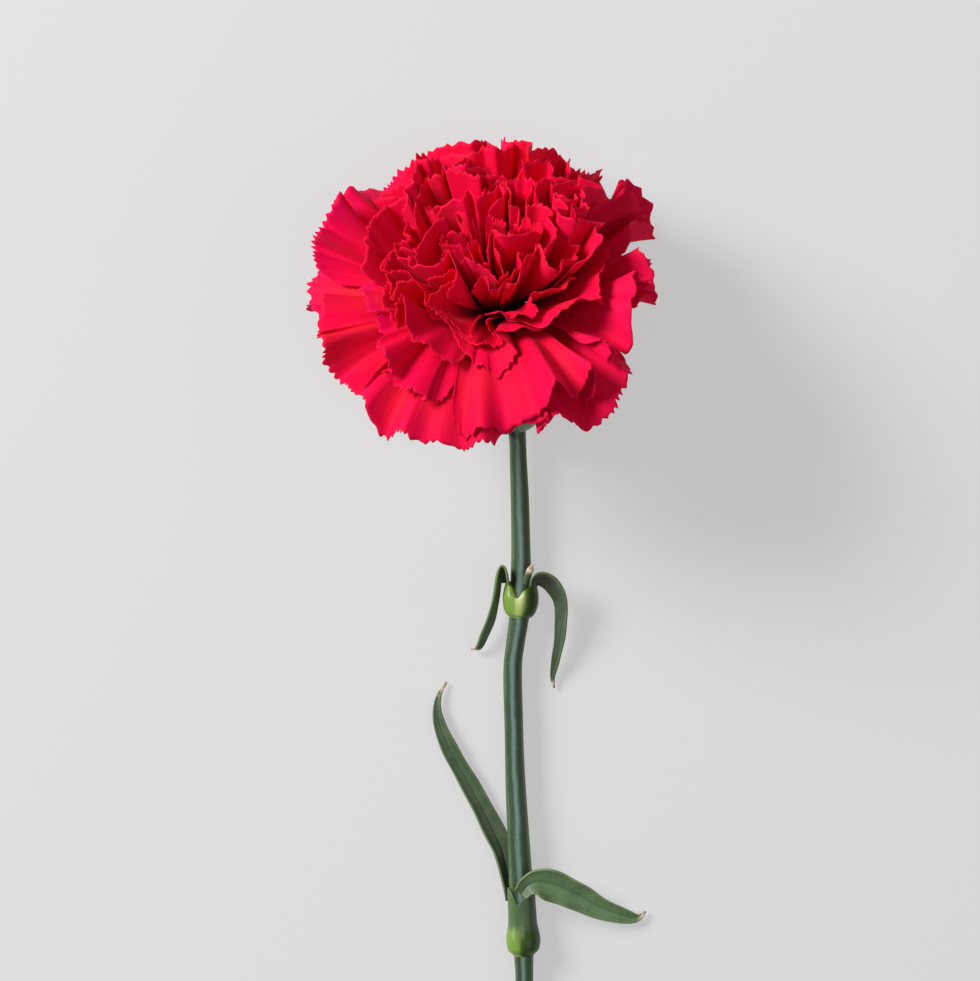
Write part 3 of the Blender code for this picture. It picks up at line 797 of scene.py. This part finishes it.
def leaf_material(settings, name, colour_base, colour_bloom):
    """A blue-green leaf with parallel veins, paler edges, a dry, papery tip and painted shade at its foot.
    """
    r = Recipe(name, colour_base)
    across = r.attribute("across")
    along = r.attribute("along")
    place = r.place()
    veins = r.noise(r.vector(across * 6.0, along * 0.35, 5.0), scale=2.0, detail=3.0, roughness=0.55)
    patches = r.noise(place, scale=300.0, detail=4.0, roughness=0.6)
    colour = r.mix(r.ramp(patches, 0.35, 0.7), colour_base, colour_bloom)
    # Lighter green per leaf: partly a fresher colour, partly painted light on the lit leaves.
    fresh = r.attribute("fresh") * r.ramp(patches, 0.25, 0.65, 0.55, 1.0)
    colour = r.mix(fresh, colour, settings.leaf_fresh)
    # Painted shade at the foot of each leaf by the stem, and at the foot of the calyx and its scales.
    colour = r.mix(r.ramp(along, 0.0, 0.2, 0.5, 0.0), colour, settings.deep_green_and_shade)
    colour = r.mix(r.ramp(veins, 0.45, 0.75) * 0.35, colour, settings.deep_green_and_shade)
    midrib = 1.0 - r.ramp(across.maths("ABSOLUTE"), 0.02, 0.12)
    colour = r.mix(midrib * 0.10, colour, settings.leaf_edge)
    edge = r.ramp(across.maths("ABSOLUTE"), 0.90, 1.0)
    colour = r.mix(edge * 0.35, colour, settings.leaf_edge)
    wander = r.noise(place, scale=700.0, detail=3.0, roughness=0.6)
    dry = r.ramp(along + (wander - 0.5) * 0.10, 0.925, 0.975)
    colour = r.mix(dry, colour, settings.dry_tip)
    brown = r.ramp(along + (wander - 0.5) * 0.08, 0.975, 0.995)
    rust = r.attribute("rust") * r.ramp(wander, 0.42, 0.60)
    colour = r.mix(brown * 0.7, colour, settings.brown_tip)
    colour = r.mix(rust * 0.6, colour, settings.stem_scar)
    normal = r.bump(veins * 0.8 + wander * 0.2, 0.4, 0.00025)
    rough = 0.42 + dry * 0.3
    return r.done(r.skin({
        "Base Color": colour, "Roughness": rough, "Normal": normal, "Specular IOR Level": 0.45, **WAX
    }))


def collar_material(settings):
    """A swollen yellow-green sheath, with a painted highlight on its lit side and painted shade at its
    flanks.
    """
    r = Recipe("sheath_yellow_green", settings.collar_colour)
    across = r.attribute("across")
    along = r.attribute("along")
    place = r.place()
    streaks = r.noise(r.vector(across * 7.0, along * 0.8, 2.0), scale=1.5, detail=4.0, roughness=0.6)
    fine = r.noise(place, scale=1800.0, detail=3.0, roughness=0.65)
    wander = (streaks - 0.5) * 0.16
    # How strongly this node takes the painted highlight and its fine specks, and how far its painted shade
    # reaches.
    ripe = r.attribute("ripe")
    # Painted highlight: a pale band down the lit side of the node.
    pale = 1.0 - r.ramp((across - 0.54 + wander).maths("ABSOLUTE"), 0.03, 0.18)
    pale = pale * ripe * r.ramp(along, 0.06, 0.20, 0.35, 1.0)
    colour = r.mix(pale, settings.collar_colour, settings.collar_highlight_and_specks)
    # Painted shade on the node's flanks, away from the light.
    shaded = r.ramp(across + ripe * 0.2 + wander, 0.53, 0.70, 1.0, 0.0) * r.ramp(across, -0.95, -0.75)
    colour = r.mix(shaded * 0.95, colour, settings.collar_shade_and_streaks)
    colour = r.mix(r.ramp(streaks, 0.50, 0.75) * 0.4, colour, settings.collar_shade_and_streaks)
    colour = r.mix(r.ramp(fine, 0.58, 0.74) * 0.15 * ripe, colour, settings.collar_highlight_and_specks)
    sheath = r.ramp(along + wander * 0.6, 0.36, 0.52)
    colour = r.mix(sheath * 0.85, colour, settings.stem_colour)
    normal = r.bump(streaks * 0.7 + fine * 0.3, 0.25, 0.0003)
    return r.done(r.skin({
        "Base Color": colour, "Roughness": 0.30 + fine * 0.12, "Normal": normal,
        "Specular IOR Level": 0.35,
    }))


def floor_material(settings):
    """A matt, nearly white surface with the faintest grain."""
    r = Recipe("pale_tabletop", settings.floor_colour)
    grain = r.noise(r.place(), scale=900.0, detail=3.0, roughness=0.6)
    tone = tuple(0.985 * c for c in settings.floor_colour)
    colour = r.mix(grain, settings.floor_colour, tone)
    return r.done(r.skin({
        "Base Color": colour, "Roughness": 0.75 + grain * 0.1, "Specular IOR Level": 0.2,
        "Emission Color": WHITE, "Emission Strength": FLOOR_GLOW,
    }))


# ---------------- settings

def colour_prop(name, description, default):
    return bpy.props.FloatVectorProperty(
        name=name, description=description, default=default, size=3, min=0.0, max=1.0, subtype="COLOR"
    )


def number_prop(name, description, default, unit="NONE", subtype="NONE"):
    return bpy.props.FloatProperty(
        name=name, description=description, default=default, unit=unit, subtype=subtype
    )


def count_prop(name, description, default):
    return bpy.props.IntProperty(name=name, description=description, default=default)


class CarnationSettings(bpy.types.PropertyGroup):
    """Sizes and colours of the flower."""

    petal_wall: number_prop("Petal thickness", "Thickness of a petal", 0.17 * MM, "LENGTH")
    tooth_depth: number_prop("Tooth depth", "Depth of the teeth of a petal's edge", 1.25 * MM, "LENGTH")
    ruffling: number_prop("Ruffling", "How strongly the petals' edges ruffle", 1.0, subtype="FACTOR")
    petal_columns: count_prop("Petal columns", "Faces across a petal", 110)
    petal_rows: count_prop("Petal rows", "Faces along a petal", 46)
    leaf_wall: number_prop("Leaf thickness", "Thickness of a leaf", 0.45 * MM, "LENGTH")
    petal_colour: colour_prop("Petal", "Main colour of the petals", (0.84, 0.0012, 0.046))
    petal_blush: colour_prop("Petal blush", "Brighter pink-red of the lit streaks", (0.95, 0.006, 0.085))
    petal_deep: colour_prop("Petal depth", "Darker crimson of the veins", (0.62, 0.0008, 0.030))
    # Painted shade deep in the flower, near each petal's foot.
    petal_throat_shade: colour_prop("Petal throat", "Colour near a petal's foot", (0.26, 0.001, 0.010))
    petal_coral: colour_prop("Petal coral", "Warmer red of some patches", (0.93, 0.022, 0.040))
    # Painted sheen that tints the outer petals' rims bluer.
    petal_rim_sheen: colour_prop("Petal magenta", "Bluer red of the outer petals' rims", (0.74, 0.0, 0.105))
    # Painted highlight along the toothed edge.
    petal_edge_highlight: colour_prop("Petal edge", "Paler colour of the toothed edge", (0.95, 0.035, 0.10))
    petal_glow: colour_prop("Petal glow", "Light that passes through a petal", (0.92, 0.004, 0.035))
    stem_colour: colour_prop("Stem", "Main colour of the stem", (0.060, 0.105, 0.052))
    stem_bloom: colour_prop("Stem bloom", "Blue-grey wax on the stem", (0.090, 0.135, 0.095))
    stem_flank: colour_prop("Stem flanks", "Greener sides of the stem", (0.070, 0.125, 0.045))
    # Partly wax, partly a painted highlight along the top of the stem.
    stem_wax_and_highlight: colour_prop("Stem stripe", "Blue-white wax along the top of the stem", (0.17, 0.25, 0.23))
    # Dark green of ribs and veins, also painted shade in two bands along the stem and at the leaves' feet.
    deep_green_and_shade: colour_prop("Stem grooves", "Dark green of grooves", (0.022, 0.048, 0.022))
    stem_pale: colour_prop("Stem specks", "Pale specks of the wax", (0.26, 0.32, 0.25))
    stem_scar: colour_prop("Stem scar", "Brown streaks of the stem and leaves", (0.12, 0.075, 0.040))
    pith: colour_prop("Pith", "Pale inside of the stem at its cut", (0.48, 0.52, 0.33))
    leaf_colour: colour_prop("Leaf", "Main colour of the leaves", (0.045, 0.073, 0.036))
    leaf_bloom: colour_prop("Leaf bloom", "Blue-grey wax on the leaves", (0.068, 0.100, 0.060))
    # Partly a fresher green, partly painted light on the lit leaves.
    leaf_fresh: colour_prop("Fresh leaf", "Light green of the youngest, sunlit leaf", (0.15, 0.26, 0.105))
    leaf_edge: colour_prop("Leaf edge", "Yellow-green of a leaf's edges", (0.26, 0.33, 0.10))
    dry_tip: colour_prop("Dry tip", "Papery colour of dried tips", (0.60, 0.50, 0.40))
    brown_tip: colour_prop("Brown tip", "Brown end of dried tips", (0.22, 0.13, 0.06))
    collar_colour: colour_prop("Sheath", "Yellow-green of the nodes", (0.165, 0.290, 0.040))
    # Painted shade at the sides of the nodes, also the colour of their streaks.
    collar_shade_and_streaks: colour_prop("Sheath flanks", "Deep green at the sides of the nodes", (0.018, 0.048, 0.004))
    # Painted highlight of the nodes, also the colour of their fine pale specks.
    collar_highlight_and_specks: colour_prop("Sheath highlight", "Palest part of the nodes", (0.55, 0.62, 0.28))
    calyx_colour: colour_prop("Calyx", "Green of the calyx", (0.13, 0.21, 0.085))
    calyx_bloom: colour_prop("Calyx bloom", "Pale wax of the calyx", (0.20, 0.28, 0.14))
    floor_colour: colour_prop("Surface", "Colour of the surface it lies on", (0.24, 0.24, 0.242))
    camera_height: number_prop("Camera height", "Height of the camera above the surface", 0.75, "LENGTH")
    key_power: number_prop("Main light", "Power of the main light", 26.0, "POWER")
    fill_power: number_prop("Fill light", "Power of the fill light", 2.5, "POWER")
    sky: number_prop("Sky", "Strength of the even light all round", 0.24)


# ---------------- pieces

# How much painted sheen a petal's rim gets: none on the inner whorls, most on the lit left side.
def rim_sheen_of(whorl, degrees):
    if whorl >= RIM_WHORLS:
        return 0.0
    return RIM_SHEEN_LEFT if LEFT_SIDE[0] < degrees < LEFT_SIDE[1] else RIM_SHEEN_ELSEWHERE


def along_blade(v):
    """From -1 to 0 on the claw, and from 0 to 1 on the blade."""
    blade = np.clip((v - CLAW_ROWS) / (1 - CLAW_ROWS), 0, 1)
    return np.where(v < CLAW_ROWS, v / CLAW_ROWS - 1, blade**ROW_CROWDING)


def add_petal(number, surface, bluer, settings, material):
    """Adds one petal. Each petal's tone differs a little, and bluer sets how much painted sheen tints its
    rim bluer.
    """
    node = f"petal_{number:02d}"
    grid = (settings.petal_columns, settings.petal_rows)
    obj, s, v = grow_sheet(f"red_{node}", grid, lambda s, v: surface(s, along_blade(v)))
    mark(obj, across=s, blade=along_blade(v), tone=vary(number, 11), outer=bluer)
    finish_piece(obj, material, node, settings.petal_wall)


class CARNATION_OT_petals(bpy.types.Operator):
    """Grow the open petals, whorl by whorl, then the folded petals of the middle"""

    bl_idname = "carnation.petals"
    bl_label = "Petals"

    def execute(self, context):
        settings = context.scene.carnation
        material = petal_material(settings)
        depth = settings.tooth_depth / MM
        number = 0
        for whorl, (radius, half, petals) in enumerate(WHORLS):
            for petal in petals:
                surface = open_petal(number, radius, half, *petal, depth, settings.ruffling)
                add_petal(number + 1, surface, rim_sheen_of(whorl, petal[0]), settings, material)
                number += 1
        for petal in FOLDED:
            surface = folded_petal(number, *petal, depth, settings.ruffling)
            add_petal(number + 1, surface, 0.0, settings, material)
            number += 1
        return {"FINISHED"}


class CARNATION_OT_stem(bpy.types.Operator):
    """Draw the stem from its slanting cut to the receptacle under the petals"""

    bl_idname = "carnation.stem"
    bl_label = "Stem"

    def execute(self, context):
        settings = context.scene.carnation
        top = np.array(RECEPTACLE)
        tip = np.concatenate([along_calyx(top[:, 0]), top[:, 1:]], axis=1)
        line, length = smooth_line(np.concatenate([STEM, tip]), STEM_STEPS)
        table = with_frames(line)

        def body_at(v):
            return np.clip((v - STEM_END_ROWS) / (1 - 2 * STEM_END_ROWS), 0, 1)

        def place(s, v):
            body = body_at(v)
            row = at(table, body)
            closing = np.clip(np.minimum(v, 1 - v) / STEM_END_ROWS, 0, 1)
            angle = math.pi * s
            mm = body * length
            ribs = 1 + sum(size * np.sin(count * angle + twist * mm) for size, count, twist in STEM_RIBS)
            knobs = 1 + KNOB_SIZE * np.sin(KNOB_PITCH * mm + KNOB_TURN * np.sin(angle))
            radius = row[:, 3] * ribs * knobs * closing**STEM_END_POWER
            points = around(row, radius, angle)
            end = np.exp(-mm / CUT_REACH)
            points[:, 1] += CUT_SLANT * np.sin(angle) * end * radius / row[:, 3]
            points[:, 1] -= CUT_DEPTH * end * (1 - closing)
            return points

        obj, s, v = grow_sheet("green_stem", STEM_GRID, place)
        mm = body_at(v) * length
        cut = np.clip(CUT_SHARPNESS * (1 - v / STEM_END_ROWS), 0, 1)
        mark(obj, across=s, along=mm, cut=cut, upper=smooth((mm - UPPER_START) / UPPER_LENGTH))
        finish_piece(obj, stem_material(settings), "stem")
        return {"FINISHED"}


class CARNATION_OT_collars(bpy.types.Operator):
    """Swell the sheath round the stem at each node"""

    bl_idname = "carnation.collars"
    bl_label = "Node sheaths"

    def execute(self, context):
        settings = context.scene.carnation
        material = collar_material(settings)
        line, _ = smooth_line(STEM, STEM_STEPS)
        for number, (name, profile) in enumerate(COLLARS.items()):
            rows, _ = smooth_line([(y, r, 0.0) for y, r in profile], COLLAR_STEPS)
            axis = np.stack([np.interp(rows[:, 0], line[:, 1], line[:, k]) for k in range(4)], -1)
            table = with_frames(np.concatenate([axis, rows[:, 1:2]], axis=1))

            def place(s, v):
                outside = np.clip(v / COLLAR_OUTSIDE, 0, 1)
                inside = np.clip((1 - v) / (1 - COLLAR_OUTSIDE), 0, 1)
                go = np.where(v < COLLAR_OUTSIDE, outside, inside)
                row = at(table, go)
                angle = math.pi * s
                lobes = sum(
                    size * np.cos(count * angle + start + change * number)
                    for size, count, start, change in COLLAR_LOBES
                )
                seam = near(angle, SEAM_DEGREES[number], SEAM_WIDTH)
                swell = row[:, 4] * (1 + lobes * np.sin(math.pi * go))
                swell = swell - SEAM_DEPTH * seam * smooth(go / SEAM_LENGTH)
                opening = COLLAR_OPENING + (1 - COLLAR_OPENING) * smooth(go / COLLAR_OPENING)
                swell = row[:, 3] + (swell - row[:, 3]) * opening
                points = around(row, np.where(v < COLLAR_OUTSIDE, swell, row[:, 3] + COLLAR_GAP), angle)
                rim = RIM_WAVE * smooth((go - RIM_START) / (1 - RIM_START))
                points[:, 1] += rim * (np.cos(2 * angle) - RIM_NOTCH * seam)
                return points

            obj, s, v = grow_sheet(f"sheath_{name.split('_')[1]}", COLLAR_GRID, place)
            along = np.clip(v / COLLAR_OUTSIDE, 0, 1) * COLOUR_RUN[number]
            mark(obj, across=s, along=along, ripe=NODE_LIGHTING[number])
            finish_piece(obj, material, name)
        return {"FINISHED"}


class CARNATION_OT_leaves(bpy.types.Operator):
    """Curl the pair of narrow leaves at each node"""

    bl_idname = "carnation.leaves"
    bl_label = "Leaves"

    def execute(self, context):
        settings = context.scene.carnation
        material = leaf_material(settings, "leaf_waxy_green", settings.leaf_colour, settings.leaf_bloom)
        for number, (name, knots) in enumerate(LEAVES.items()):
            line, length = smooth_line(knots, LEAF_STEPS)
            framed = with_frames(line)
            side, up = framed[:, -6:-3], framed[:, -3:]
            roll = np.radians(line[:, 4:5])
            flat = np.cos(roll) * side + np.sin(roll) * up
            normal = np.cos(roll) * up - np.sin(roll) * side
            table = np.concatenate([line[:, :4], flat, normal], axis=1)

            def place(s, v):
                row = at(table, v)
                mm = v * length
                edge = EDGE_WAVE * np.sin(mm * EDGE_PITCH + number) * np.abs(s) ** 3
                fold = LEAF_CUP * s**2 - LEAF_KEEL * (1 - np.abs(s)) ** KEEL_POWER
                width = row[:, 3] * (1 + WIDTH_CHANGE * np.sin(WIDTH_PITCH * mm + 3 * s))
                sheet = s[:, None] * row[:, 4:7] + (fold + edge)[:, None] * row[:, 7:10]
                return row[:, :3] + width[:, None] * sheet

            obj, s, v = grow_sheet(f"green_{name}", LEAF_GRID, place)
            mark(obj, across=s, along=v, fresh=FRESH_AND_LIT[name])
            if name == RUSTY_LEAF:
                mark(obj, rust=np.exp(-(((v - RUST_PLACE) / RUST_WIDTH) ** 2)))
            finish_piece(obj, material, name, settings.leaf_wall)
        return {"FINISHED"}


class CARNATION_OT_shoot(bpy.types.Operator):
    """Add the little side shoot with its dry tip"""

    bl_idname = "carnation.shoot"
    bl_label = "Side shoot"

    def execute(self, context):
        settings = context.scene.carnation
        line, _ = smooth_line(SHOOT, SHOOT_STEPS)
        table = with_frames(line)

        def place(s, v):
            row = at(table, v)
            angle = math.pi * s
            closing = smooth(v / SHOOT_FOOT) * np.clip((1 - v) / SHOOT_TIP, 0, 1) ** 0.5
            radius = row[:, 3] * closing * (1 - SHOOT_KEEL * np.abs(np.cos(angle)) ** 9)
            return around(row, radius, angle, SHOOT_FLATNESS)

        obj, s, v = grow_sheet("pale_shoot", SHOOT_GRID, place)
        foot, more, most = SHOOT_DRYNESS
        mark(obj, across=s, along=np.clip(foot + more * v, 0, most))
        material = leaf_material(settings, "shoot_pale_green", settings.leaf_colour, settings.calyx_colour)
        finish_piece(obj, material, "shoot")
        return {"FINISHED"}


class CARNATION_OT_calyx(bpy.types.Operator):
    """Form the calyx tube with its five teeth, and the four scales at its foot"""

    bl_idname = "carnation.calyx"
    bl_label = "Calyx and scales"

    def execute(self, context):
        settings = context.scene.carnation
        profile = np.array(CALYX)
        outline = np.array(CALYX_FOOT + CALYX[1:])
        material = leaf_material(settings, "calyx_smooth_green", settings.calyx_colour, settings.calyx_bloom)

        def ring(height, radius, angle):
            side = (radius * np.cos(angle))[:, None] * ACROSS + (radius * np.sin(angle))[:, None] * DOWN
            return along_calyx(height) + side

        def tube(s, v):
            angle = math.pi * s
            tooth = np.abs(((angle * CALYX_TEETH / (2 * math.pi)) % 1.0) * 2 - 1)
            start = outline[0, 0]
            height = start + v**CALYX_CROWDING * (CALYX_LENGTH - start + TOOTH_HEIGHT * tooth)
            above = np.clip(height - CALYX_LENGTH, 0, None) / TOOTH_HEIGHT
            radius = np.interp(height, outline[:, 0], outline[:, 1]) + TOOTH_FLARE * above**TOOTH_CURVE
            ribs = CALYX_RIB * np.sin(CALYX_RIBS * angle) * smooth(v / 0.2)
            return ring(height, radius - 0.5 * CALYX_WALL + ribs, angle)

        obj, s, v = grow_sheet("calyx_tube", CALYX_GRID, tube)
        mark(obj, across=s * CALYX_ACROSS, along=v * CALYX_ALONG)
        finish_piece(obj, material, "calyx", CALYX_WALL * MM)
        for index in range(BRACTS):

            def scale(s, v):
                width = math.radians(BRACT_HALF_DEGREES) * (BRACT_FOOT + (1 - BRACT_FOOT) * v)
                width = width * np.sqrt(np.clip(1 - v**BRACT_ROUNDING, 0, 1))
                angle = 2 * math.pi * (index + 0.5) / BRACTS + width * s
                height = BRACT_START + BRACT_LENGTH * v
                radius = np.interp(height, profile[:, 0], profile[:, 1]) + BRACT_GAP + 0.5 * BRACT_WALL
                radius = radius + BRACT_BULGE * (v**2 * (1 - s**2) + np.abs(s) ** 3 * v)
                return ring(height, radius, angle)

            obj, s, v = grow_sheet(f"calyx_scale_{index + 1}", BRACT_GRID, scale)
            mark(obj, across=s, along=v * BRACT_ALONG)
            finish_piece(obj, material, f"bract_{index + 1}", CALYX_WALL * MM)
        return {"FINISHED"}


class CARNATION_OT_stage(bpy.types.Operator):
    """Lay the pale surface and set the lights and the camera"""

    bl_idname = "carnation.stage"
    bl_label = "Surface, lights and camera"

    def execute(self, context):
        settings = context.scene.carnation
        scene = context.scene
        bpy.ops.object.select_all(action="DESELECT")
        bpy.ops.mesh.primitive_plane_add(size=FLOOR_SIZE, location=(0, 0, 0))
        floor = context.object
        floor.name = "tabletop"
        floor.data.materials.append(floor_material(settings))

        powers = (settings.key_power, settings.fill_power)
        for (name, place, size), power in zip(LIGHTS, powers):
            bpy.ops.object.light_add(type="AREA", location=place)
            light = context.object
            light.name = name
            light.data.shape = "DISK"
            light.data.size = size
            light.data.energy = power
            light.rotation_euler = (Vector(AIM) - Vector(place)).to_track_quat("-Z", "Y").to_euler()
        world = bpy.data.worlds.new("even_light")
        scene.world = world
        world.use_nodes = True
        back = world.node_tree.nodes["Background"]
        back.inputs["Color"].default_value = WHITE
        back.inputs["Strength"].default_value = settings.sky

        height = settings.camera_height
        bpy.ops.object.camera_add(location=(*CAMERA_PLACE, height), rotation=(0, 0, 0))
        camera = context.object
        camera.name = "camera"
        camera.data.sensor_width = SENSOR_WIDTH
        camera.data.lens = SENSOR_WIDTH * (height - VIEW_HEIGHT) / VIEW_WIDTH
        camera.data.clip_start = CLIP_START
        scene.camera = camera
        scene.view_settings.view_transform = "Standard"
        return {"FINISHED"}


class CARNATION_PT_panel(bpy.types.Panel):
    """The flower's pieces and settings"""

    bl_idname = "CARNATION_PT_panel"
    bl_label = "Cut carnation"
    bl_space_type = "VIEW_3D"
    bl_region_type = "UI"
    bl_category = "Carnation"

    def draw(self, context):
        layout = self.layout
        for operator in OPERATORS:
            layout.operator(operator.bl_idname)
        settings = context.scene.carnation
        for name in CarnationSettings.__annotations__:
            layout.prop(settings, name)


OPERATORS = (
    CARNATION_OT_petals,
    CARNATION_OT_stem,
    CARNATION_OT_collars,
    CARNATION_OT_leaves,
    CARNATION_OT_shoot,
    CARNATION_OT_calyx,
    CARNATION_OT_stage,
)
CLASSES = (CarnationSettings, *OPERATORS, CARNATION_PT_panel)


def register():
    for cls in CLASSES:
        bpy.utils.register_class(cls)
    bpy.types.Scene.carnation = bpy.props.PointerProperty(type=CarnationSettings)


def unregister():
    del bpy.types.Scene.carnation
    for cls in reversed(CLASSES):
        bpy.utils.unregister_class(cls)


def main():
    register()
    bpy.ops.carnation.petals()
    bpy.ops.carnation.stem()
    bpy.ops.carnation.collars()
    bpy.ops.carnation.leaves()
    bpy.ops.carnation.shoot()
    bpy.ops.carnation.calyx()
    bpy.ops.carnation.stage()


if __name__ == "__main__":
    main()
